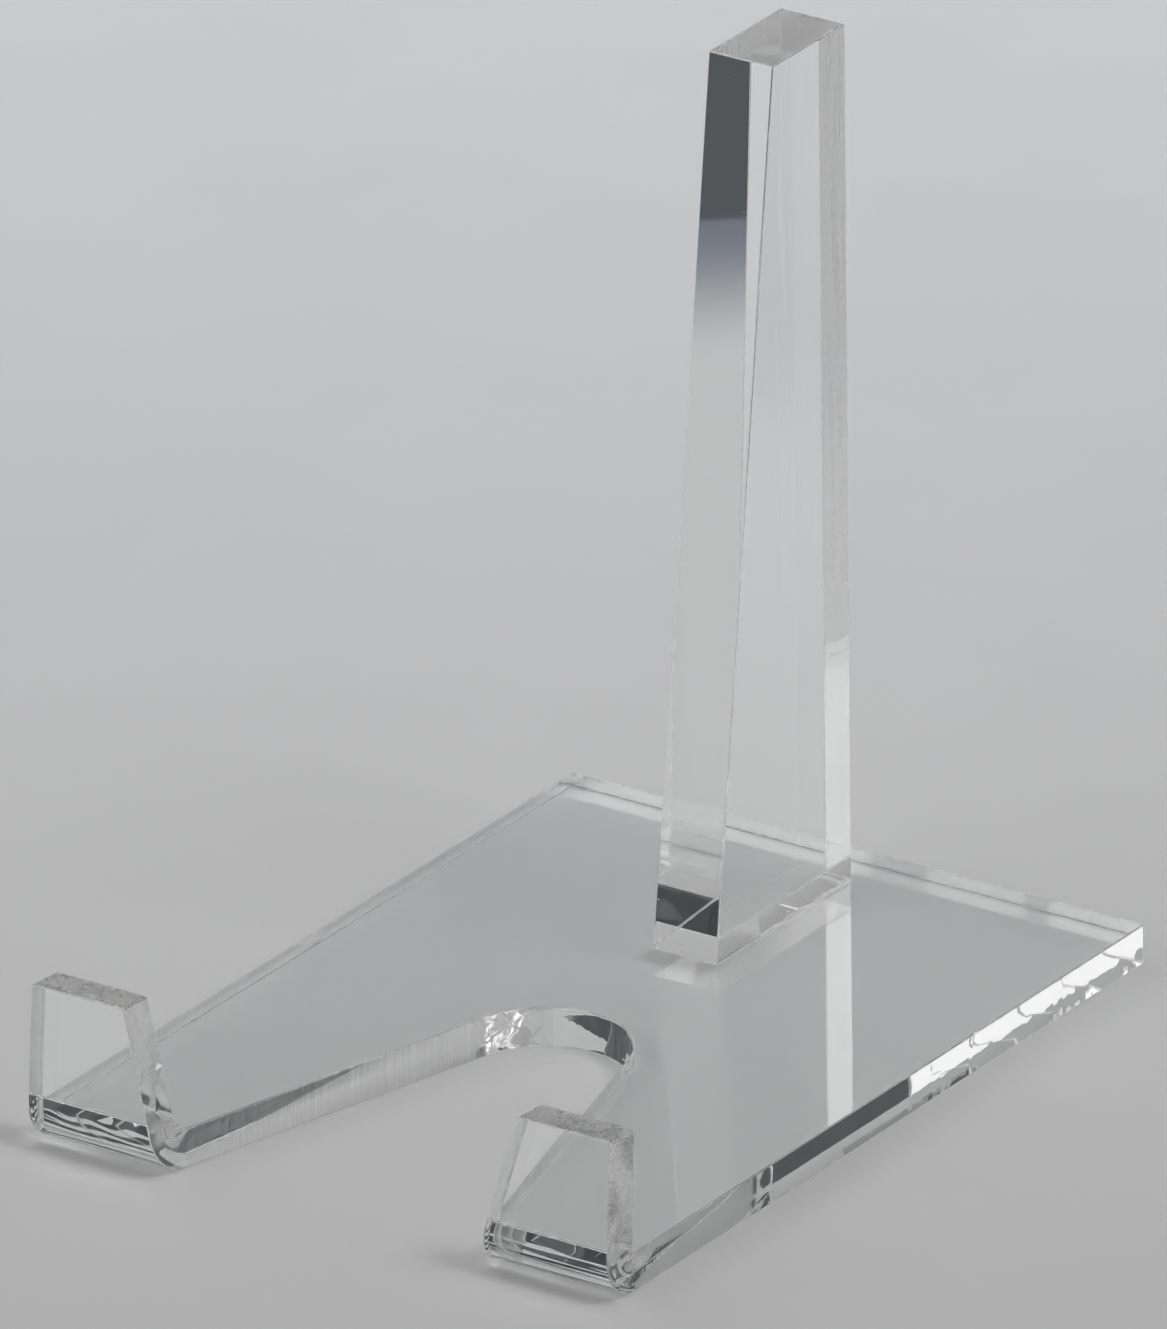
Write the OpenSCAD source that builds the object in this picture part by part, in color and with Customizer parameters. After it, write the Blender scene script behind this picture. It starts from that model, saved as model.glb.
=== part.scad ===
// Plate display stand in clear acrylic: one sheet, notched at the front and bent up into two lips,
// with a solid tapered post cemented on near its back edge.
// A plate's rim stands on the two prongs behind the lips, and its back leans on the post.
// Frame: X to the side, Y from front to back, Z up. The origin is on the table, under the middle of the stand.

/* [Base sheet] */
// Width of the base, side to side
base_w = 101.6; // [92:0.1:112]
// Depth of the base, from the back edge to the front of the lips
base_d = 142.3; // [130:0.1:200]
// Thickness of the sheet
sheet_t = 6.3; // [4:0.1:8]

/* [Lips] */
// Height of the lips' front top edge above the table
lip_h = 26; // [18:0.5:34]
// Angle by which the lips lean back, past upright
lip_lean = 3.8; // [0:0.1:10]
// Radius on the inside of the bend
bend_inner_r = 0.8; // [0.3:0.1:3]

/* [Notch] */
// Width of each prong where the bend starts
prong_w = 23; // [21:0.1:27]
// Depth of the notch, from the front of the lips to its round end
notch_depth = 72.1; // [64:0.1:76]
// Radius of the notch's round end
notch_r = 13.25; // [8:0.05:15]

/* [Post] */
// Thickness of the post, side to side
post_w = 11.2; // [8:0.1:20]
// Height of the post's top above the table
stand_h = 143.9; // [100:0.1:220]
// Depth of the post at its foot
post_foot_d = 36.1; // [24:0.1:40]
// Depth of the post at its top
post_top_d = 19.1; // [10:0.1:22]
// Gap between the base's back edge and the post's upright back face
post_setback = 10; // [4:0.1:12]

/* [Cement joint] */
// Thickness of the cement between the post and the base
cement_t = 0.1; // [0.05:0.01:0.2]
// Bare rim between the edge of the cement and the edge of the post's foot
cement_inset = 0.4; // [0.2:0.1:1]

/* [Hidden] */
$fn = 96;

// Depth past a face that a cutter needs to cut cleanly
over = 1;

y_back = base_d / 2;
y_front = -base_d / 2;

// The bend turns about an axis along X, at y_bend and bend_outer_r above the table.
bend_outer_r = bend_inner_r + sheet_t;
bend_angle = 90 + lip_lean;
y_bend = y_front + bend_outer_r;
bend_length = (bend_inner_r + sheet_t / 2) * bend_angle * PI / 180;
lip_length = (lip_h - bend_outer_r * (1 + sin(lip_lean))) / cos(lip_lean);

// Each side of the notch runs straight from the bend to the round end, and is tangent to it.
gap_bend = base_w / 2 - prong_w;
notch_centre_y = y_front + notch_depth - notch_r;
notch_reach = notch_centre_y - y_bend;
notch_angle = atan2(gap_bend, notch_reach) - asin(notch_r / norm([gap_bend, notch_reach]));
tangent_x = notch_r * cos(notch_angle);
tangent_y = notch_centre_y + notch_r * sin(notch_angle);

// Half the gap between the prongs goes on growing at the same slope round the bend and up the lips.
notch_slope = tan(notch_angle);
gap_lip = gap_bend + notch_slope * bend_length;
gap_top = gap_lip + notch_slope * lip_length;

post_back_y = y_back - post_setback;
post_z = sheet_t + cement_t;

// The flat part of the sheet, from the bend to the back edge
module flat_sheet() {
    translate([-base_w / 2, y_bend, 0])
        cube([base_w, y_back - y_bend, sheet_t]);
}

// The bend: a sector of a ring about an axis along X, from the table round to the foot of the lips
module sheet_bend() {
    translate([-base_w / 2, y_bend, bend_outer_r])
        rotate([0, 90, 0])
            mirror([0, 1, 0])
                rotate_extrude(angle = bend_angle)
                    translate([bend_inner_r, 0])
                        square([sheet_t, base_w]);
}

// The lips' stretch of the sheet, before the gap between them is cut
module lip_sheet() {
    translate([0, y_bend, bend_outer_r])
        rotate([-lip_lean, 0, 0])
            translate([-base_w / 2, -bend_outer_r, 0])
                cube([base_w, sheet_t, lip_length]);
}

// Cutter for the notch in the flat part: a round end and two sides that open towards the front
module notch_cut() {
    translate([0, 0, -over])
        linear_extrude(height = sheet_t + 2 * over) {
            translate([0, notch_centre_y])
                circle(r = notch_r);
            polygon([
                [tangent_x, tangent_y],
                [gap_bend, y_bend],
                [gap_bend, y_bend - over],
                [-gap_bend, y_bend - over],
                [-gap_bend, y_bend],
                [-tangent_x, tangent_y]
            ]);
        }
}

// The gap between the lips, seen from the front: it widens from the table up.
// The whole gap starts below the table, and its upper part starts where the bend turns upright.
module whole_gap_outline() {
    gap_over = gap_top + notch_slope * over;
    polygon([
        [gap_bend, -over],
        [gap_bend, 0],
        [gap_lip, bend_outer_r],
        [gap_top, lip_h],
        [gap_over, lip_h + over],
        [-gap_over, lip_h + over],
        [-gap_top, lip_h],
        [-gap_lip, bend_outer_r],
        [-gap_bend, 0],
        [-gap_bend, -over]
    ]);
}

module upper_gap_outline() {
    gap_over = gap_top + notch_slope * over;
    polygon([
        [gap_lip, bend_outer_r],
        [gap_top, lip_h],
        [gap_over, lip_h + over],
        [-gap_over, lip_h + over],
        [-gap_top, lip_h],
        [-gap_lip, bend_outer_r]
    ]);
}

// Cutter for that gap: it stops at the bend, and only its upper part reaches back past the lips' lean
module lip_gap_cut() {
    front_reach = bend_outer_r + over;
    lean_reach = lip_h * tan(lip_lean) + over;
    translate([0, y_bend, 0])
        rotate([90, 0, 0])
            linear_extrude(height = front_reach)
                whole_gap_outline();
    translate([0, y_bend + lean_reach, 0])
        rotate([90, 0, 0])
            linear_extrude(height = lean_reach + front_reach)
                upper_gap_outline();
}

// One bent sheet: the base, its two prongs and their lips
module base_plate() {
    color([0.90, 0.94, 0.94, 0.35])
        difference() {
            union() {
                flat_sheet();
                sheet_bend();
                lip_sheet();
            }
            notch_cut();
            lip_gap_cut();
        }
}

// The solid post: upright at the back, leaning back at the front
module back_post() {
    color([0.92, 0.94, 0.95, 0.35])
        rotate([90, 0, 90])
            linear_extrude(height = post_w, center = true)
                polygon([
                    [post_back_y - post_foot_d, post_z],
                    [post_back_y, post_z],
                    [post_back_y, stand_h],
                    [post_back_y - post_top_d, stand_h]
                ]);
}

// The thin layer of set cement that holds the post to the base
module cement_film() {
    color([0.95, 0.96, 0.96, 0.35])
        translate([
            -post_w / 2 + cement_inset,
            post_back_y - post_foot_d + cement_inset,
            sheet_t
        ])
            cube([post_w - 2 * cement_inset, post_foot_d - 2 * cement_inset, cement_t]);
}

base_plate();
back_post();
cement_film();
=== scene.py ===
import math

import bmesh
import bpy
from mathutils import Euler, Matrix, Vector


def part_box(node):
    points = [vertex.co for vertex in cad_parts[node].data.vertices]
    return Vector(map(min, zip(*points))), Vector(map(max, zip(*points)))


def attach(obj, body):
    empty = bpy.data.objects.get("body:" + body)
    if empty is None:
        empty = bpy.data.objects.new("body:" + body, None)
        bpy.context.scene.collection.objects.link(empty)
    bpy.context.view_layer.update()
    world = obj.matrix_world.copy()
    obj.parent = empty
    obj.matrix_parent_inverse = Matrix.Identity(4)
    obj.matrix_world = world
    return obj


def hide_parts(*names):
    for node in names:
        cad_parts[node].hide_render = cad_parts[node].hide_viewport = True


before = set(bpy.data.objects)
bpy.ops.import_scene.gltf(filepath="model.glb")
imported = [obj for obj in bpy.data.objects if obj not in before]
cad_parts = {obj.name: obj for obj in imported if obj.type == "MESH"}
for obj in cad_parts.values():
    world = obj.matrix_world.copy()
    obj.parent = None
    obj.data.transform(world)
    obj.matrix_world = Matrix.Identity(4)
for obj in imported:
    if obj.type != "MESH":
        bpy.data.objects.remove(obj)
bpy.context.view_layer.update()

# Clear acrylic plate stand: a bent, notched sheet, a solid tapered post, and the cement between them.
# Lengths are in metres, in the CAD frame: X to the side, Y from front to back, Z up.
MM = 0.001

# ---- Sizes read from the frame ----
SHEET_LOW, SHEET_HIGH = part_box("base_plate")
POST_LOW, POST_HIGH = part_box("back_post")
FILM_LOW, FILM_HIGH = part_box("cement_film")
HALF_W = SHEET_HIGH.x
BACK_Y = SHEET_HIGH.y
FRONT_Y = SHEET_LOW.y
LIP_HEIGHT = SHEET_HIGH.z
SHEET_T = FILM_LOW.z

# ---- Sizes the frame doesn't name: the CAD's own dimensions ----
BEND_INNER_R = 0.8 * MM
LIP_LEAN = math.radians(3.8)
PRONG_W = 23.0 * MM
NOTCH_R = 13.25 * MM
NOTCH_DEPTH = 72.1 * MM
POST_TOP_DEPTH = 19.1 * MM

# ---- Small shapes that only the looks have ----
EDGE_R = 0.22 * MM          # rounding of the sheet's long edges
CORNER_R = 0.5 * MM         # rounding of the sheet's upright corners
BULGE_IN = 0.7 * MM         # how far the bend's inside swells sideways
BULGE_OUT = 0.25 * MM       # how far the bend's outside draws in
BULGE_REACH = 0.35          # how far both run on past the bend, as a share of its length
BULGE_START = 0.35          # the swelling begins at this share of the thickness, counted from the outer face
POST_EDGE_R = 0.25 * MM     # rounding of the post's edges
BEAD_AND_GLINT_HEIGHT = 0.35 * MM     # height of the cement squeezed out along the post's foot, painted white as a painted highlight
RIGHT_BEAD_AND_GLINT_START = 11.5 * MM      # how far behind the post's front the bead on the right, with its painted highlight, begins
LEFT_BEAD_AND_GLINT_SHARE = 0.6       # how solid the thinner bead on the left is, which paints a highlight line
FILM_CLEARANCE = 0.02 * MM  # above and below the cement
FLOOR_GAP = 0.08 * MM       # air between the sheet and the table
MERGE_DISTANCE = 0.0001 * MM

# ---- The camera: a long lens, far away, a little above and to the right, with a slight tilt ----
CAMERA_TURN = math.radians(34.204)
CAMERA_RISE = math.radians(24.055)
CAMERA_TILT = math.radians(-0.657)
CAMERA_DISTANCE = 4.714
CAMERA_LENS_MM = 875.0
CAMERA_SENSOR_MM = 36.0
CAMERA_REACH = 100.0
CAMERA_AIM = (1.63 * MM, -2.99 * MM, 64.36 * MM)

# ---- Derived from those ----
BEND_OUTER_R = BEND_INNER_R + SHEET_T
BEND_ANGLE = math.pi / 2 + LIP_LEAN
BEND_Y = FRONT_Y + BEND_OUTER_R
BEND_LENGTH = (BEND_INNER_R + SHEET_T / 2) * BEND_ANGLE
LIP_LENGTH = (LIP_HEIGHT - BEND_OUTER_R * (1 + math.sin(LIP_LEAN))) / math.cos(LIP_LEAN)
GAP_BEND = HALF_W - PRONG_W
NOTCH_REACH = NOTCH_DEPTH - NOTCH_R - BEND_OUTER_R
NOTCH_ANGLE = math.atan2(GAP_BEND, NOTCH_REACH) - math.asin(NOTCH_R / math.hypot(GAP_BEND, NOTCH_REACH))
NOTCH_SLOPE = math.tan(NOTCH_ANGLE)


# ---------------------------------------------------------------- mesh helpers

def new_object(name, bm, materials):
    """A mesh object from a bmesh, with smooth shading that keeps large faces flat."""
    mesh = bpy.data.meshes.new(name)
    bmesh.ops.recalc_face_normals(bm, faces=bm.faces)
    for face in bm.faces:
        face.smooth = True
    bm.to_mesh(mesh)
    bm.free()
    for material in materials:
        mesh.materials.append(material)
    piece = bpy.data.objects.new(name, mesh)
    bpy.context.scene.collection.objects.link(piece)
    weighted = piece.modifiers.new("flat faces stay flat", "WEIGHTED_NORMAL")
    weighted.weight = 100
    weighted.keep_sharp = True
    return piece


def smoothstep(x):
    x = max(0.0, min(1.0, x))
    return x * x * (3 - 2 * x)


# ---------------------------------------------------------------- base plate
# The sheet is drawn flat, with s counted forwards along it from the start of the bend, then bent into place.

BEND_STEPS = 40
HALF_ARC_STEPS = 48
CORNER_STEPS = 5
EDGE_STEPS = 4
WALL_STEPS = 6
BACK_S = -(BACK_Y - BEND_Y)
TIP_S = BEND_LENGTH + LIP_LENGTH


def half_gap(s):
    return GAP_BEND + NOTCH_SLOPE * s


def corner(cx, cs, start, turn):
    """Points and outward directions of a small round corner about (cx, cs), from an angle through a turn."""
    for k in range(CORNER_STEPS + 1):
        a = start + turn * k / CORNER_STEPS
        out = (math.cos(a), math.sin(a))
        yield (cx + CORNER_R * out[0], cs + CORNER_R * out[1]), out


def right_half_outline():
    """The right half of the sheet's outline, from the back edge round to the notch's deepest point.
    Each entry is a point (x, s), the outward direction there, and the kind of edge it lies on."""
    outline = []
    for point, out in corner(HALF_W - CORNER_R, BACK_S + CORNER_R, -math.pi / 2, math.pi / 2):
        outline.append((point, out, "flat"))
    for k in range(BEND_STEPS + 1):
        outline.append(((HALF_W, BEND_LENGTH * k / BEND_STEPS), (1.0, 0.0), "bend"))
    for point, out in corner(HALF_W - CORNER_R, TIP_S - CORNER_R, 0.0, math.pi / 2):
        outline.append((point, out, "tip"))
    # The lip's inner corner, between the tip, which faces forwards, and the notch's side.
    side = (-math.cos(NOTCH_ANGLE), math.sin(NOTCH_ANGLE))
    side_angle = math.pi - NOTCH_ANGLE
    corner_s = TIP_S - CORNER_R
    corner_x = half_gap(corner_s) + CORNER_R / math.cos(NOTCH_ANGLE)
    for point, out in corner(corner_x, corner_s, math.pi / 2, side_angle - math.pi / 2):
        outline.append((point, out, "tip"))
    for k in range(BEND_STEPS, -1, -1):
        s = BEND_LENGTH * k / BEND_STEPS
        outline.append(((half_gap(s), s), side, "bend"))
    # The round end turns from the side's direction to straight ahead, about a centre on the middle line.
    for k in range(HALF_ARC_STEPS + 1):
        a = side_angle - (math.pi / 2 - NOTCH_ANGLE) * k / HALF_ARC_STEPS
        out = (math.cos(a), math.sin(a))
        point = (-NOTCH_R * out[0], -NOTCH_REACH - NOTCH_R * out[1])
        outline.append((point, out, "flat"))
    return outline


def whole_outline():
    """The closed outline: the right half, then its mirror image, without doubling the point in the middle."""
    right = right_half_outline()
    left = [((-p[0], p[1]), (-out[0], out[1]), kind) for p, out, kind in reversed(right[:-1])]
    return right + left


def edge_profile():
    """Steps from the top face round the edge to the underside: (inset from the outline, height)."""
    profile = []
    for k in range(EDGE_STEPS + 1):
        a = math.pi / 2 * k / EDGE_STEPS
        profile.append((EDGE_R * (1 - math.sin(a)), SHEET_T - EDGE_R * (1 - math.cos(a))))
    for k in range(1, WALL_STEPS):
        height = SHEET_T - EDGE_R - (SHEET_T - 2 * EDGE_R) * k / WALL_STEPS
        profile.append((0.0, height))
    for k in range(EDGE_STEPS + 1):
        a = math.pi / 2 * k / EDGE_STEPS
        profile.append((EDGE_R * (1 - math.cos(a)), EDGE_R * (1 - math.sin(a))))
    return profile


def bulge(s, height):
    """Sideways swelling of the sheet's edges at the bend: outwards on its inside, inwards on its outside."""
    reach = BULGE_REACH * BEND_LENGTH
    window = smoothstep((s + reach) / (BEND_LENGTH / 2 + reach))
    window *= smoothstep((BEND_LENGTH + reach - s) / (BEND_LENGTH / 2 + reach))
    share = height / SHEET_T
    swollen = BULGE_IN * smoothstep((share - BULGE_START) / (1 - BULGE_START))
    drawn_in = BULGE_OUT * smoothstep((0.5 - share) / 0.5)
    return window * (swollen - drawn_in)


def bend_into_place(x, s, height):
    """From the flat drawing to the bent sheet. Height is counted from the outer face, the underside."""
    radius = BEND_OUTER_R - height
    angle = BEND_ANGLE * max(0.0, min(1.0, s / BEND_LENGTH))
    beyond = s if s < 0 else max(0.0, s - BEND_LENGTH)
    y = BEND_Y - radius * math.sin(angle) - beyond * math.cos(angle)
    z = BEND_OUTER_R - radius * math.cos(angle) + beyond * math.sin(angle)
    return Vector((x, y, z))


def build_base_plate(materials):
    """Rings of points from the top face round to the underside, closed by the two broad faces."""
    polished, outer, notch, sawn, cemented = range(5)
    outline = whole_outline()
    runs = edge_runs(outline)
    bm = bmesh.new()
    edge_run = bm.loops.layers.uv.new("edge_run")
    rings = []
    heights = []
    for inset, height in edge_profile():
        ring = []
        for (x, s), (out_x, out_s), kind in outline:
            swell = bulge(s, height) if kind != "tip" else 0.0
            px = x - inset * out_x + math.copysign(swell, out_x)
            ring.append(bm.verts.new(bend_into_place(px, s - inset * out_s, height)))
        rings.append(ring)
        heights.append(height)
    count = len(outline)
    for r in range(len(rings) - 1):
        for k in range(count):
            n = (k + 1) % count
            face = bm.faces.new((rings[r][k], rings[r][n], rings[r + 1][n], rings[r + 1][k]))
            middle_x = (outline[k][0][0] + outline[n][0][0]) / 2
            middle_s = (outline[k][0][1] + outline[n][0][1]) / 2
            if outline[k][2] == "tip" and outline[n][2] == "tip":
                face.material_index = sawn
            elif abs(middle_x) > HALF_W - CORNER_R or middle_s < BACK_S + CORNER_R:
                face.material_index = outer
            else:
                face.material_index = notch
            places = ((k, r), (k + 1, r), (k + 1, r + 1), (k, r + 1))
            for loop, (along, down) in zip(face.loops, places):
                loop[edge_run].uv = (runs[along], heights[down])
    top = cap_sheet(bm, rings[0], outline, polished)
    cap_sheet(bm, rings[-1], outline, polished)
    mark_joint(bm, top, cemented)
    return new_object("clear_base_plate", bm, materials)


def edge_runs(outline):
    """The distance round the outline to each of its points, and back to the first."""
    runs = [0.0]
    for k in range(len(outline)):
        (x0, s0), (x1, s1) = outline[k][0], outline[(k + 1) % len(outline)][0]
        runs.append(runs[-1] + math.hypot(x1 - x0, s1 - s0))
    return runs


def cap_sheet(bm, ring, outline, material_index):
    """Closes one broad face of the sheet: a face for the flat part, strips round the bends, a face a lip."""
    bend = [k for k, (_, _, kind) in enumerate(outline) if kind == "bend"]
    flat = [k for k, (_, _, kind) in enumerate(outline) if kind == "flat"]
    right = [k for k in bend if outline[k][0][0] > 0]
    left = [k for k in bend if outline[k][0][0] < 0]
    for run in (right, left):
        first = run[:BEND_STEPS + 1]
        second = run[:BEND_STEPS:-1]
        flat += [first[0], second[0]]
        for k in range(BEND_STEPS):
            corners = (first[k], first[k + 1], second[k + 1], second[k])
            strip = bm.faces.new([ring[c] for c in corners])
            strip.material_index = material_index
        lip = bm.faces.new([ring[k] for k in range(first[-1], second[-1] + 1)])
        lip.material_index = material_index
    flat_face = bm.faces.new([ring[k] for k in sorted(flat)])
    flat_face.material_index = material_index
    return flat_face


def mark_joint(bm, top, material_index):
    """Cuts the post's footprint out of the top face as a face of its own, for the cement's contact."""
    pieces = [top]
    cuts = [(point, normal) for normal in ((1, 0, 0), (0, 1, 0)) for point in (POST_LOW, POST_HIGH)]
    for point, normal in cuts:
        parts = set(pieces)
        for face in pieces:
            parts.update(face.edges)
            parts.update(face.verts)
        plane = {"plane_co": point, "plane_no": normal, "dist": MERGE_DISTANCE}
        cut = bmesh.ops.bisect_plane(bm, geom=list(parts), **plane)
        pieces = [part for part in cut["geom"] if isinstance(part, bmesh.types.BMFace)]
    for face in pieces:
        middle = face.calc_center_median()
        if POST_LOW.x < middle.x < POST_HIGH.x and POST_LOW.y < middle.y < POST_HIGH.y:
            face.material_index = material_index


# ---------------------------------------------------------------- post and cement

def build_post(materials):
    """The solid post: upright back, front leaning back, every edge slightly rounded but those of its foot."""
    half = POST_HIGH.x
    corners = [
        (POST_LOW.y, POST_LOW.z),
        (POST_HIGH.y, POST_LOW.z),
        (POST_HIGH.y, POST_HIGH.z),
        (POST_HIGH.y - POST_TOP_DEPTH, POST_HIGH.z),
    ]
    bm = bmesh.new()
    left = [bm.verts.new((-half, y, z)) for y, z in corners]
    right = [bm.verts.new((half, y, z)) for y, z in corners]
    bm.faces.new(left)
    bm.faces.new(right)
    sides, buffed, cemented = range(3)
    for k, material_index in enumerate((cemented, sides, buffed, sides)):
        n = (k + 1) % len(corners)
        face = bm.faces.new((left[k], left[n], right[n], right[k]))
        face.material_index = material_index
    weight = bm.edges.layers.float.new("bevel_weight_edge")
    for edge in bm.edges:
        at_foot = all(v.co.z < POST_LOW.z + MM for v in edge.verts)
        edge[weight] = 0.0 if at_foot else 1.0
        edge.smooth = not at_foot
    piece = new_object("clear_back_post", bm, materials)
    bevel = piece.modifiers.new("rounded edges", "BEVEL")
    bevel.limit_method = "WEIGHT"
    bevel.width = POST_EDGE_R
    bevel.segments = 4
    bpy.context.view_layer.update()
    piece.modifiers.move(piece.modifiers.find("rounded edges"), 0)
    return piece


def build_film(materials):
    """The cement, a hair thinner than its space, so that its faces don't lie in its neighbours' faces."""
    bm = bmesh.new()
    bmesh.ops.create_cube(bm, size=1.0)
    size = FILM_HIGH - FILM_LOW
    middle = (FILM_HIGH + FILM_LOW) / 2
    size.z -= 2 * FILM_CLEARANCE
    for v in bm.verts:
        v.co = Vector((v.co.x * size.x, v.co.y * size.y, v.co.z * size.z)) + middle
    for edge in bm.edges:
        edge.smooth = False
    return new_object("cement_layer", bm, materials)


# ---------------------------------------------------------------- node helpers

class Tree:
    """A node tree being built. Each call adds a node and returns its output. Inputs are values or outputs."""

    def __init__(self, tree):
        self.tree = tree

    def add(self, kind, inputs=None, output=0, **settings):
        made = self.tree.nodes.new(kind)
        for name, value in settings.items():
            setattr(made, name, value)
        for name, value in (inputs or {}).items():
            if isinstance(value, bpy.types.NodeSocket):
                self.tree.links.new(value, made.inputs[name])
            else:
                made.inputs[name].default_value = value
        return made.outputs[output]

    def maths(self, operation, a, b=0.0):
        return self.add("ShaderNodeMath", {0: a, 1: b}, operation=operation)

    def times(self, a, b):
        return self.maths("MULTIPLY", a, b)

    def plus(self, a, b):
        return self.maths("ADD", a, b)

    def minus(self, a, b):
        return self.maths("SUBTRACT", a, b)

    def dot(self, a, b):
        return self.add("ShaderNodeVectorMath", {0: a, 1: b}, output="Value", operation="DOT_PRODUCT")

    def stretch(self, vector, scale):
        return self.add("ShaderNodeVectorMath", {0: vector, 1: scale}, operation="MULTIPLY")

    def ease(self, value, low, high, to_low=0.0, to_high=1.0):
        """A smooth step from one value to another as the input goes from low to high."""
        levels = {"Value": value, "From Min": low, "From Max": high, "To Min": to_low, "To Max": to_high}
        return self.add("ShaderNodeMapRange", levels, interpolation_type="SMOOTHSTEP")

    def blend(self, factor, a, b):
        """A colour between a and b."""
        inputs = {"Factor": factor, 6: a, 7: b}
        return self.add("ShaderNodeMix", inputs, output=2, data_type="RGBA")

    def noise(self, vector, scale, detail=2.0, roughness=0.5):
        inputs = {"Vector": vector, "Scale": scale, "Detail": detail, "Roughness": roughness}
        return self.add("ShaderNodeTexNoise", inputs, output="Fac")

    def bump(self, height, distance, normal=None):
        """The shading normal of a surface raised by a height times a distance, on top of another normal."""
        inputs = {"Height": height, "Distance": distance, "Strength": 1.0}
        if normal is not None:
            inputs["Normal"] = normal
        return self.add("ShaderNodeBump", inputs)

    def parts(self, vector, axes="XYZ"):
        """The named coordinates of a vector, one output each."""
        return [self.add("ShaderNodeSeparateXYZ", {"Vector": vector}, output=axis) for axis in axes]

    def place(self):
        """The point being shaded, in the object's own coordinates, which are metres."""
        return self.add("ShaderNodeTexCoord", output="Object")


def new_material(name):
    material = bpy.data.materials.new(name)
    material.use_nodes = True
    material.node_tree.nodes.clear()
    return material, Tree(material.node_tree)


def finish_material(tree, shader):
    out = tree.tree.nodes.new("ShaderNodeOutputMaterial")
    tree.tree.links.new(shader, out.inputs["Surface"])


# ---------------------------------------------------------------- acrylic

ACRYLIC_IOR = 1.49
NOTCH_WALL_SKEW = 0.058     # slope by which the notch's straight walls face further back than they should
WEDGE_TIP_Y = -31.0 * MM    # the clear upper front of the notch's walls narrows to nothing here
WEDGE_SHARE = 0.22          # and at the bend it reaches down to this share of the thickness
STRAIGHT_END_Y = -9.0 * MM  # where the notch's straight walls meet its round end
CHATTER_START_Y = 5.0 * MM  # the cutter's chatter on the right edge starts here
CHATTER_FULL_Y = 15.0 * MM  # and is full from here to the back
CHATTER_LEAN = 0.012        # slope of its facets
POLISHED_LEAN = 0.001       # slope of the facets that the polish left everywhere on the outer edges
NOTCH_LEAN = 0.006          # slope of the facets on the notch's wall
OUTER_MARKS = 800.0         # facets per metre on the outer edges
NOTCH_MARKS = 2600.0        # and on the notch's wall
NOTCH_ROUGHNESS = 0.2       # of the notch's wall where the saw's haze is left
NOTCH_HAZE_AND_PAINTED_LIGHT = 0.33           # and the share of the light that this haze scatters, painted pale: partly the saw's haze, partly painted light that lightens the walls
LIP_ROUGHNESS = 0.15        # of the right lip's outer side, which is granular
LIP_GRAINS = 0.45           # share of the light that its largest grains scatter
CLEAR = (0.997, 1.0, 0.998, 1.0)
DULLED = (0.74, 0.745, 0.74, 1.0)
# The pale colour of the solid share: dust and torn surface, and painted light at the post's foot and on the
# notch's walls.
DUST_AND_PAINTED_LIGHT = (0.9, 0.9, 0.89, 1.0)
SAWN_DARK = (0.42, 0.43, 0.41, 1.0)


def acrylic(tree, roughness, normal, solid, colour=CLEAR):
    """Clear acrylic. The solid share, 0 to 1, is dust or torn surface, and at the post's foot and the notch's
    walls painted light; all of it scatters the light.
    """
    return tree.add("ShaderNodeBsdfPrincipled", {
        "Base Color": tree.blend(solid, colour, DUST_AND_PAINTED_LIGHT),
        "Roughness": roughness,
        "Transmission Weight": tree.minus(1.0, solid),
        "IOR": ACRYLIC_IOR,
        "Normal": normal,
    })


def specks(tree, place, per_metre, radius, share):
    """1 on specks: dots of up to a radius in metres, in a share of a grid's cells, so many to the metre."""
    cell = {"Vector": place, "Scale": per_metre, "Randomness": 1.0}
    distance = tree.add("ShaderNodeTexVoronoi", cell, output="Distance")
    chance = tree.add("ShaderNodeTexVoronoi", cell, output="Color")
    pick = tree.add("ShaderNodeSeparateColor", {"Color": chance}, output="Red")
    size = tree.times(tree.ease(pick, 1 - share, 1.0), radius * per_metre)
    return tree.maths("LESS_THAN", distance, size)


def polished_sheet():
    """The sheet's broad faces: slightly wavy, faintly hazy in patches, with a few specks of dust."""
    material, tree = new_material("acrylic_polished")
    place = tree.place()
    waves = tree.bump(tree.noise(place, 45.0, detail=1.0), 0.004 * MM)
    dust = specks(tree, place, 55.0, 0.13 * MM, 0.16)
    haze = tree.ease(tree.noise(place, 30.0, detail=4.0), 0.35, 0.8, 0.0, 0.02)
    finish_material(tree, acrylic(tree, haze, waves, dust))
    return material


def edge_lines(tree, along, down):
    """Noise on the cut edges, with so many details per metre along the edge and down the thickness."""
    run = tree.add("ShaderNodeUVMap", uv_map="edge_run")
    return tree.noise(tree.stretch(run, (along, down, 0.0)), 1.0, detail=3.0)


def cutter_marks(tree, per_metre, lean):
    """Height, in metres, of an edge made of narrow facets, each leaning up or down by its own small slope."""
    run = tree.add("ShaderNodeUVMap", uv_map="edge_run")
    along, up = tree.parts(run, "XY")
    cells = {"W": along, "Scale": per_metre}
    colour = tree.add("ShaderNodeTexVoronoi", cells, output="Color", voronoi_dimensions="1D")
    chance = tree.add("ShaderNodeSeparateColor", {"Color": colour}, output="Red")
    from_minus_one_to_one = tree.times(tree.minus(chance, 0.5), 2.0)
    slope = tree.times(from_minus_one_to_one, lean)
    return tree.times(tree.minus(up, SHEET_T / 2), slope)


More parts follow.
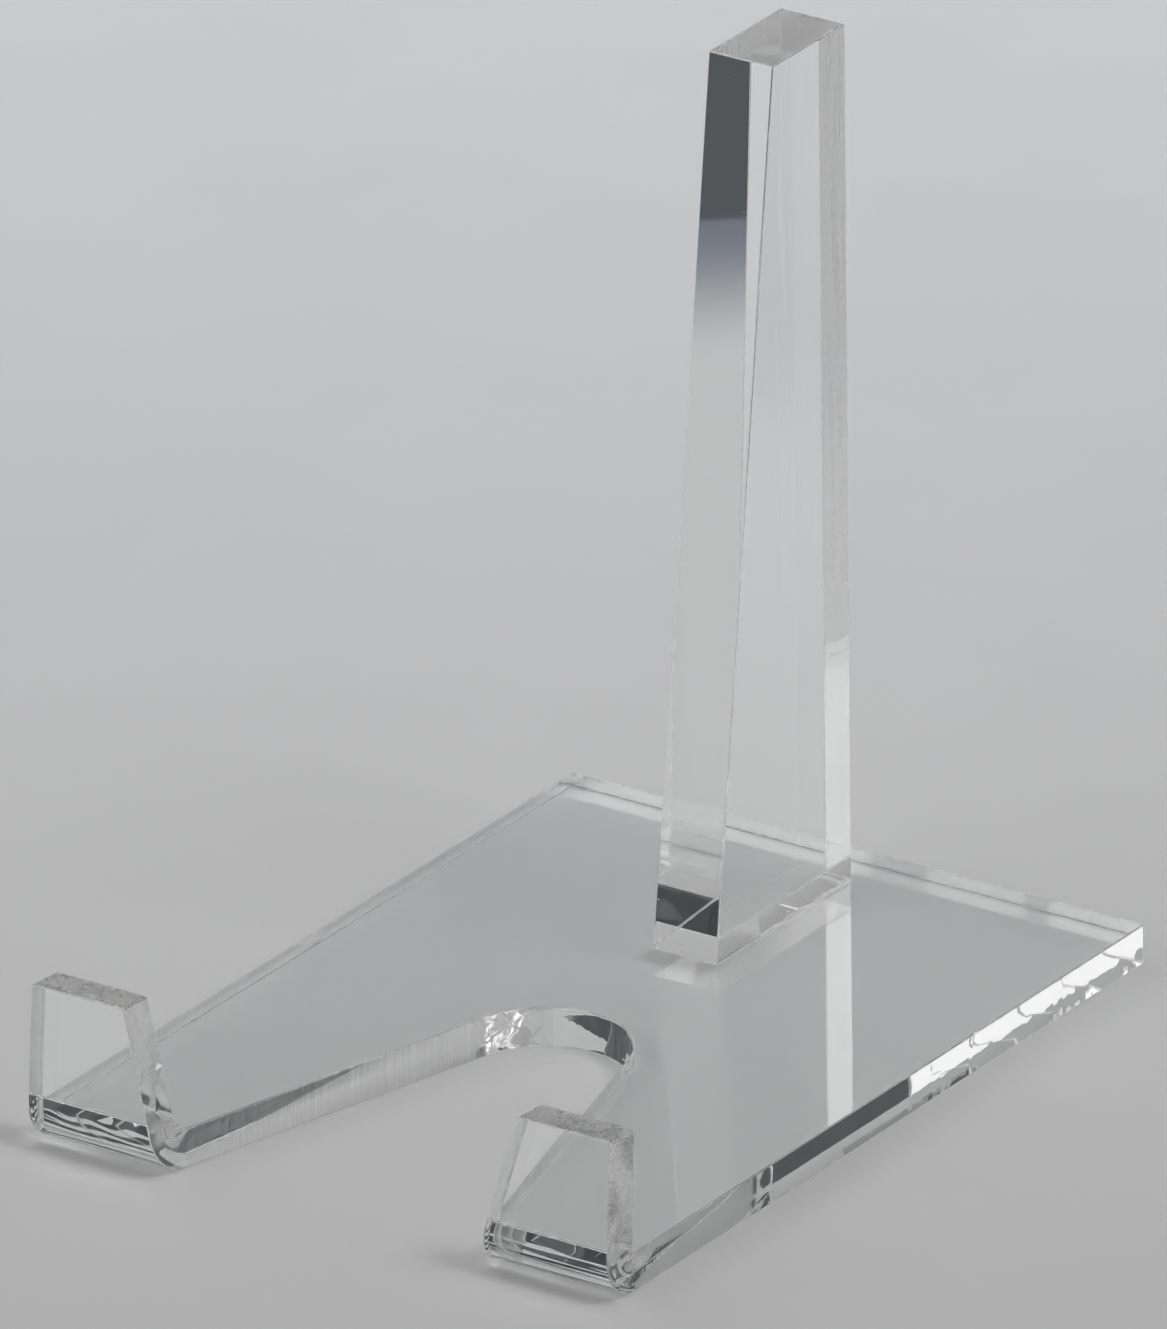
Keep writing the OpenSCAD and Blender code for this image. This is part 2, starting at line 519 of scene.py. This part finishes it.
def polished_edge():
    """The sheet's outer edges, machined and polished. The back of the right one still has the cutter's
    chatter, and the right lip's outer side is granular."""
    material, tree = new_material("acrylic_polished_edge")
    x, y, z = tree.parts(tree.place())
    on_right = tree.maths("GREATER_THAN", x, HALF_W - EDGE_R)
    on_lip = tree.times(on_right, tree.ease(z, SHEET_T, 1.5 * SHEET_T))
    chatter = tree.times(on_right, tree.ease(y, CHATTER_START_Y, CHATTER_FULL_Y, 0.0, CHATTER_LEAN))
    marks = tree.bump(cutter_marks(tree, OUTER_MARKS, tree.plus(chatter, POLISHED_LEAN)), 1.0)
    fine = edge_lines(tree, 900.0, 500.0)
    normal = tree.bump(fine, 0.0004 * MM, marks)
    haze = tree.plus(tree.ease(fine, 0.45, 0.8, 0.0, 0.04), tree.times(on_lip, LIP_ROUGHNESS))
    grains = tree.ease(edge_lines(tree, 2500.0, 2500.0), 0.4, 0.65, 0.0, LIP_GRAINS)
    worn = tree.plus(tree.times(fine, 0.02), tree.times(on_lip, grains))
    finish_material(tree, acrylic(tree, haze, normal, worn, DULLED))
    return material


def notch_edge():
    """The notch's wall: sawn, a little out of true, then flamed, with fine lines across the thickness. The
    straight walls stay hazy from the saw, except in a wedge along their top that narrows towards the back.
    The haze is painted pale, partly the saw's real haze and partly painted light that lightens the walls."""
    material, tree = new_material("acrylic_notch_edge")
    y, z = tree.parts(tree.place(), "YZ")
    ahead = tree.maths("MINIMUM", y, STRAIGHT_END_Y)
    skewed = tree.bump(tree.times(ahead, -NOTCH_WALL_SKEW), 1.0)
    marks = tree.bump(cutter_marks(tree, NOTCH_MARKS, NOTCH_LEAN), 1.0, skewed)
    lines = edge_lines(tree, 3000.0, 60.0)
    normal = tree.bump(lines, 0.0012 * MM, marks)
    along = {"Value": y, "From Min": BEND_Y, "From Max": WEDGE_TIP_Y}
    wedge_floor = tree.add("ShaderNodeMapRange", along | {"To Min": WEDGE_SHARE * SHEET_T, "To Max": SHEET_T})
    straight = tree.ease(y, STRAIGHT_END_Y - 2 * MM, STRAIGHT_END_Y, 1.0, 0.0)
    hazy = tree.times(straight, tree.ease(tree.minus(wedge_floor, z), -0.1 * MM, 0.3 * MM))
    roughness = tree.times(hazy, NOTCH_ROUGHNESS)
    most_scored = tree.plus(0.03, tree.times(straight, 0.08))
    scored = tree.ease(lines, 0.45, 0.68, 0.02, most_scored)
    # painted light: the haze share is painted pale to lighten the lower part of the straight walls
    scatter_share = tree.plus(scored, tree.times(hazy, NOTCH_HAZE_AND_PAINTED_LIGHT))
    finish_material(tree, acrylic(tree, roughness, normal, scatter_share))
    return material


def sawn_tip():
    """The lips' top faces, left as the saw cut them: matte, with short pale scratches on a darker ground."""
    material, tree = new_material("acrylic_sawn")
    place = tree.place()
    scratches = tree.noise(tree.stretch(place, (1500.0, 3600.0, 3000.0)), 1.0, detail=4.0, roughness=0.7)
    grain = tree.noise(place, 1500.0, detail=3.0)
    mottle = tree.ease(tree.noise(place, 330.0, detail=3.0), 0.35, 0.65)
    normal = tree.bump(scratches, 0.0005 * MM, tree.bump(grain, 0.0005 * MM))
    pale = tree.ease(scratches, 0.36, 0.72)
    colour = tree.blend(pale, SAWN_DARK, CLEAR)
    scatter_share = tree.plus(tree.times(pale, 0.25), tree.times(mottle, 0.12))
    roughness = tree.plus(0.2, tree.times(mottle, 0.2))
    finish_material(tree, acrylic(tree, roughness, normal, scatter_share, colour))
    return material


def polished_post():
    """The post's sides: flame polished, so a little wavy, with dust, hairline scratches and squeezed-out
    cement at the foot, painted white there as a painted highlight. Near the back, the right side's upper half
    has the machining's upright streaks."""
    material, tree = new_material("acrylic_post")
    place = tree.place()
    waves = tree.noise(tree.stretch(place, (90.0, 90.0, 45.0)), 1.0, detail=1.0)
    ripples = tree.noise(tree.stretch(place, (200.0, 700.0, 45.0)), 1.0, detail=3.0)
    x, y, z = tree.parts(place)
    on_right = tree.maths("GREATER_THAN", x, POST_HIGH.x - POST_EDGE_R)
    near_back = tree.ease(y, POST_HIGH.y - 7 * MM, POST_HIGH.y - 3 * MM)
    upper_half = tree.ease(z, 0.3 * POST_HIGH.z, 0.5 * POST_HIGH.z)
    share = tree.times(on_right, tree.times(near_back, upper_half))
    rippled = tree.bump(tree.times(ripples, share), 0.004 * MM)
    scratches = tree.noise(tree.stretch(place, (900.0, 900.0, 60.0)), 1.0, detail=2.0)
    normal = tree.bump(scratches, 0.0003 * MM, tree.bump(waves, 0.012 * MM, rippled))
    dust = tree.times(specks(tree, place, 420.0, 0.09 * MM, 0.4), 0.5)
    rubbed = tree.times(share, tree.ease(ripples, 0.48, 0.62, 0.0, 0.8))
    # The solid share holds dust, rubbed streaks and the foot's painted highlight.
    solid = tree.maths("MAXIMUM", tree.maths("MAXIMUM", dust, rubbed), foot_bead_and_glint(tree, place, x, y, z))
    finish_material(tree, acrylic(tree, 0.0, normal, solid))
    return material


def foot_bead_and_glint(tree, place, x, y, z):
    """The share of squeezed-out cement, painted white as a painted highlight along the foot: a thin line on
    the left, a ragged one on the right's back part.
    """
    ragged = tree.ease(tree.noise(place, 500.0), 0.3, 0.7, 0.7 * BEAD_AND_GLINT_HEIGHT, 1.9 * BEAD_AND_GLINT_HEIGHT)
    on_left = tree.maths("LESS_THAN", x, POST_LOW.x + POST_EDGE_R)
    left = tree.times(on_left, tree.maths("LESS_THAN", z, POST_LOW.z + BEAD_AND_GLINT_HEIGHT))
    on_right = tree.maths("GREATER_THAN", x, POST_HIGH.x - POST_EDGE_R)
    right = tree.times(on_right, tree.maths("LESS_THAN", z, tree.plus(POST_LOW.z, ragged)))
    right = tree.times(right, tree.maths("GREATER_THAN", y, POST_LOW.y + RIGHT_BEAD_AND_GLINT_START))
    return tree.maths("MAXIMUM", tree.times(left, LEFT_BEAD_AND_GLINT_SHARE), right)


def buffed_top():
    """The post's top: buffed on a wheel, so hazier and wavier than the sides."""
    material, tree = new_material("acrylic_buffed")
    place = tree.place()
    lines = tree.noise(tree.stretch(place, (2400.0, 300.0, 300.0)), 1.0, detail=4.0)
    waves = tree.noise(tree.stretch(place, (260.0, 120.0, 100.0)), 1.0, detail=2.0)
    normal = tree.bump(lines, 0.0008 * MM, tree.bump(waves, 0.016 * MM))
    haze = tree.ease(lines, 0.4, 0.8, 0.01, 0.06)
    dust = tree.times(tree.ease(lines, 0.45, 0.8), 0.15)
    finish_material(tree, acrylic(tree, haze, normal, dust))
    return material


# ---------------------------------------------------------------- cement
# Cement joins the post to the sheet with no air between, so light passes straight through, except at bubbles
# and outside the cement's ragged edge.

def cement_contact(tree, place):
    """1 where the cement wets both faces, 0 outside its ragged edge."""
    x, y = tree.parts(place, "XY")
    middle_y = (FILM_LOW.y + FILM_HIGH.y) / 2
    from_middle = tree.maths("ABSOLUTE", tree.minus(y, middle_y))
    from_side = tree.minus(POST_HIGH.x, tree.maths("ABSOLUTE", x))
    from_end = tree.minus((POST_HIGH.y - POST_LOW.y) / 2, from_middle)
    inside = tree.maths("MINIMUM", from_side, from_end)
    ragged = tree.ease(tree.noise(place, 300.0, detail=3.0), 0.3, 0.7, 0.03 * MM, 0.12 * MM)
    return tree.maths("GREATER_THAN", inside, ragged)


def joint_face():
    """The two faces that the cement joins: gone where it wets them, milky round its edge."""
    material, tree = new_material("acrylic_cemented")
    place = tree.place()
    grain = tree.noise(place, 700.0)
    milky = acrylic(tree, 0.3, tree.bump(grain, 0.01 * MM), tree.ease(grain, 0.3, 0.6, 0.7, 1.0))
    gone = tree.add("ShaderNodeBsdfTransparent")
    wetted = cement_contact(tree, place)
    finish_material(tree, tree.add("ShaderNodeMixShader", {0: wetted, 1: milky, 2: gone}))
    return material


def cement():
    """The cement itself: nearly as clear as the acrylic, with tiny bubbles."""
    material, tree = new_material("cement_clear")
    place = tree.place()
    bubbles = specks(tree, place, 500.0, 0.25 * MM, 0.3)
    rough = tree.bump(tree.noise(place, 900.0), 0.01 * MM)
    bubble = acrylic(tree, 0.3, rough, tree.times(bubbles, 0.6))
    clear = tree.add("ShaderNodeBsdfTransparent", {"Color": (0.985, 0.985, 0.98, 1.0)})
    finish_material(tree, tree.add("ShaderNodeMixShader", {0: bubbles, 1: clear, 2: bubble}))
    return material


# ---------------------------------------------------------------- the three pieces

plate = build_base_plate([polished_sheet(), polished_edge(), notch_edge(), sawn_tip(), joint_face()])
post = build_post([polished_post(), buffed_top(), joint_face()])
film = build_film([cement()])
for piece, node, slot in (
    (plate, "base_plate", "clear_sheet"),
    (post, "back_post", "clear_block"),
    (film, "cement_film", "clear_cement"),
):
    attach(piece, "root")
    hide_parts(node)


# ---------------------------------------------------------------- table

TABLE_HALF_WIDTH = 4.0
VIEW_FORWARD = (-math.sin(CAMERA_TURN), math.cos(CAMERA_TURN), 0.0)
TONE_START, TONE_END = -0.10, 0.42  # painted light falloff: the paper is painted lighter between these, counted away from the camera
# Near and far paper colours, which paint the light falloff across the table.
TABLE_NEAR = (0.585, 0.585, 0.585, 1.0)
TABLE_FAR = (0.825, 0.83, 0.85, 1.0)
TABLE_MOTTLE = (0.5, 0.5, 0.51, 1.0)
PAPER_PAINTED_LIGHT = 1.07           # painted light: how much paler the paper is painted in light that comes through the acrylic
PAPER_END_DIRECTION = (0.585, 0.811, 0.0)
PAPER_SHADED = 0.215        # how far out in that direction the paper begins to fall into shade
PAPER_END = 0.260           # and how far out it ends
PAPER_END_BLUR = 0.003      # over this distance
PAPER_SHADE = (0.19, 0.21, 0.27, 1.0)
DARK_GROUND = (0.066, 0.080, 0.092, 1.0)


def table_material():
    """Pale paper, painted a little lighter away from the camera as a painted light falloff. In rays that come
    through the acrylic it is painted paler still, as painted light, and behind the object to the right it
    ends on a dark ground."""
    material, tree = new_material("pale_table")
    place = tree.place()
    forward = tree.dot(place, VIEW_FORWARD)
    # painted light falloff: the paper's colour goes from the near colour to the far one
    tone = tree.add("ShaderNodeMapRange", {"Value": forward, "From Min": TONE_START, "From Max": TONE_END})
    paper = tree.blend(tone, TABLE_NEAR, TABLE_FAR)
    mottle = tree.noise(place, 25.0, detail=4.0)
    paper = tree.blend(tree.ease(mottle, 0.3, 0.7, 0.0, 0.06), paper, TABLE_MOTTLE)
    away = tree.dot(place, PAPER_END_DIRECTION)
    inside = tree.minus(1.0, tree.add("ShaderNodeLightPath", output="Is Camera Ray"))
    shaded = tree.times(inside, tree.ease(away, PAPER_SHADED, PAPER_END))
    ended = tree.times(inside, tree.ease(away, PAPER_END, PAPER_END + PAPER_END_BLUR))
    # painted light: in rays other than the camera's the paper is painted paler
    painted_lighter = tree.blend(inside, paper, tree.stretch(paper, (PAPER_PAINTED_LIGHT, PAPER_PAINTED_LIGHT, PAPER_PAINTED_LIGHT)))
    colour = tree.blend(ended, tree.blend(shaded, painted_lighter, PAPER_SHADE), DARK_GROUND)
    grain = tree.bump(tree.noise(place, 1500.0, detail=2.0), 0.02 * MM)
    finish_material(tree, tree.add("ShaderNodeBsdfDiffuse", {"Color": colour, "Normal": grain}))
    return material


def build_table():
    bm = bmesh.new()
    bmesh.ops.create_grid(bm, x_segments=1, y_segments=1, size=TABLE_HALF_WIDTH)
    mesh = bpy.data.meshes.new("table_top")
    bm.to_mesh(mesh)
    bm.free()
    mesh.materials.append(table_material())
    table = bpy.data.objects.new("table_top", mesh)
    table.location.z = -FLOOR_GAP
    bpy.context.scene.collection.objects.link(table)


build_table()


# ---------------------------------------------------------------- studio
# The light is all in the world's background, as patches of sky, so nothing stands in any camera's way.
# An azimuth is counted from +Y towards -X, and both angles are in degrees.

def grey(level, blue=0.0):
    return (level * (1 - blue), level, level * (1 + blue), 1.0)


# Each patch: from azimuth, to azimuth, from elevation, to elevation, softness, colour.
SKY_PATCHES = (
    (-42.0, 46.0, 5.0, 36.0, 2.0, grey(0.030, 0.12)),  # dark wall behind
    (126.0, 164.0, 13.0, 46.0, 2.0, grey(1.4)),        # main softbox, front left
    (60.0, 120.0, 34.0, 66.0, 8.0, grey(1.4)),         # second softbox, left, with very soft edges
    (-96.0, -66.0, 50.0, 66.0, 3.0, grey(9.5)),        # third softbox, high on the right, small and strong
    (-180.1, 180.1, 72.0, 100.0, 4.0, grey(1.2)),      # overhead
)
SKY_LOW, SKY_HIGH = grey(0.42), grey(0.32)
SKY_HIGH_Z = 0.7            # height, on a sphere of radius 1, where the sky's tone is fully the high one
SKY_TO_CAMERA = grey(0.6, 0.01)
LIGHT_BOUNCES = 40


def within(tree, value, low, high, softness):
    """1 between low and high, 0 outside them, with soft steps."""
    rise = tree.ease(value, low - softness, low + softness)
    fall = tree.ease(value, high - softness, high + softness, 1.0, 0.0)
    return tree.times(rise, fall)


def build_studio():
    world = bpy.data.worlds.new("studio")
    bpy.context.scene.world = world
    world.use_nodes = True
    world.node_tree.nodes.clear()
    tree = Tree(world.node_tree)
    direction = tree.add("ShaderNodeTexCoord", output="Generated")
    x, y, z = tree.parts(direction)
    to_the_left = tree.times(x, -1.0)
    azimuth = tree.maths("DEGREES", tree.maths("ARCTAN2", to_the_left, y))
    elevation = tree.maths("DEGREES", tree.maths("ARCSINE", z))
    sky = tree.blend(tree.ease(z, 0.0, SKY_HIGH_Z), SKY_LOW, SKY_HIGH)
    for left, right, low, high, softness, colour in SKY_PATCHES:
        across = within(tree, azimuth, left, right, softness)
        up = within(tree, elevation, low, high, softness)
        sky = tree.blend(tree.times(across, up), sky, colour)
    seen = tree.add("ShaderNodeLightPath", output="Is Camera Ray")
    sky = tree.blend(seen, sky, SKY_TO_CAMERA)
    background = tree.add("ShaderNodeBackground", {"Color": sky, "Strength": 1.0})
    out = tree.tree.nodes.new("ShaderNodeOutputWorld")
    tree.tree.links.new(background, out.inputs["Surface"])


def set_up_rendering():
    """Long light paths, because light is reflected many times inside acrylic, and plain tones."""
    cycles = bpy.context.scene.cycles
    cycles.max_bounces = LIGHT_BOUNCES
    cycles.diffuse_bounces = 3
    cycles.glossy_bounces = LIGHT_BOUNCES
    cycles.transmission_bounces = LIGHT_BOUNCES
    cycles.transparent_max_bounces = LIGHT_BOUNCES
    cycles.sample_clamp_indirect = 10.0
    cycles.blur_glossy = 0.0
    bpy.context.scene.view_settings.view_transform = "Standard"


build_studio()
set_up_rendering()


# ---------------------------------------------------------------- camera

def build_camera():
    data = bpy.data.cameras.new("camera")
    data.lens = CAMERA_LENS_MM
    data.sensor_width = CAMERA_SENSOR_MM
    data.clip_end = CAMERA_REACH
    camera = bpy.data.objects.new("camera", data)
    bpy.context.scene.collection.objects.link(camera)
    back = Vector((
        math.sin(CAMERA_TURN) * math.cos(CAMERA_RISE),
        -math.cos(CAMERA_TURN) * math.cos(CAMERA_RISE),
        math.sin(CAMERA_RISE),
    ))
    camera.location = Vector(CAMERA_AIM) + CAMERA_DISTANCE * back
    turned = Euler((math.pi / 2 - CAMERA_RISE, 0.0, CAMERA_TURN))
    turned.rotate_axis("Z", CAMERA_TILT)
    camera.rotation_euler = turned
    bpy.context.scene.camera = camera


build_camera()
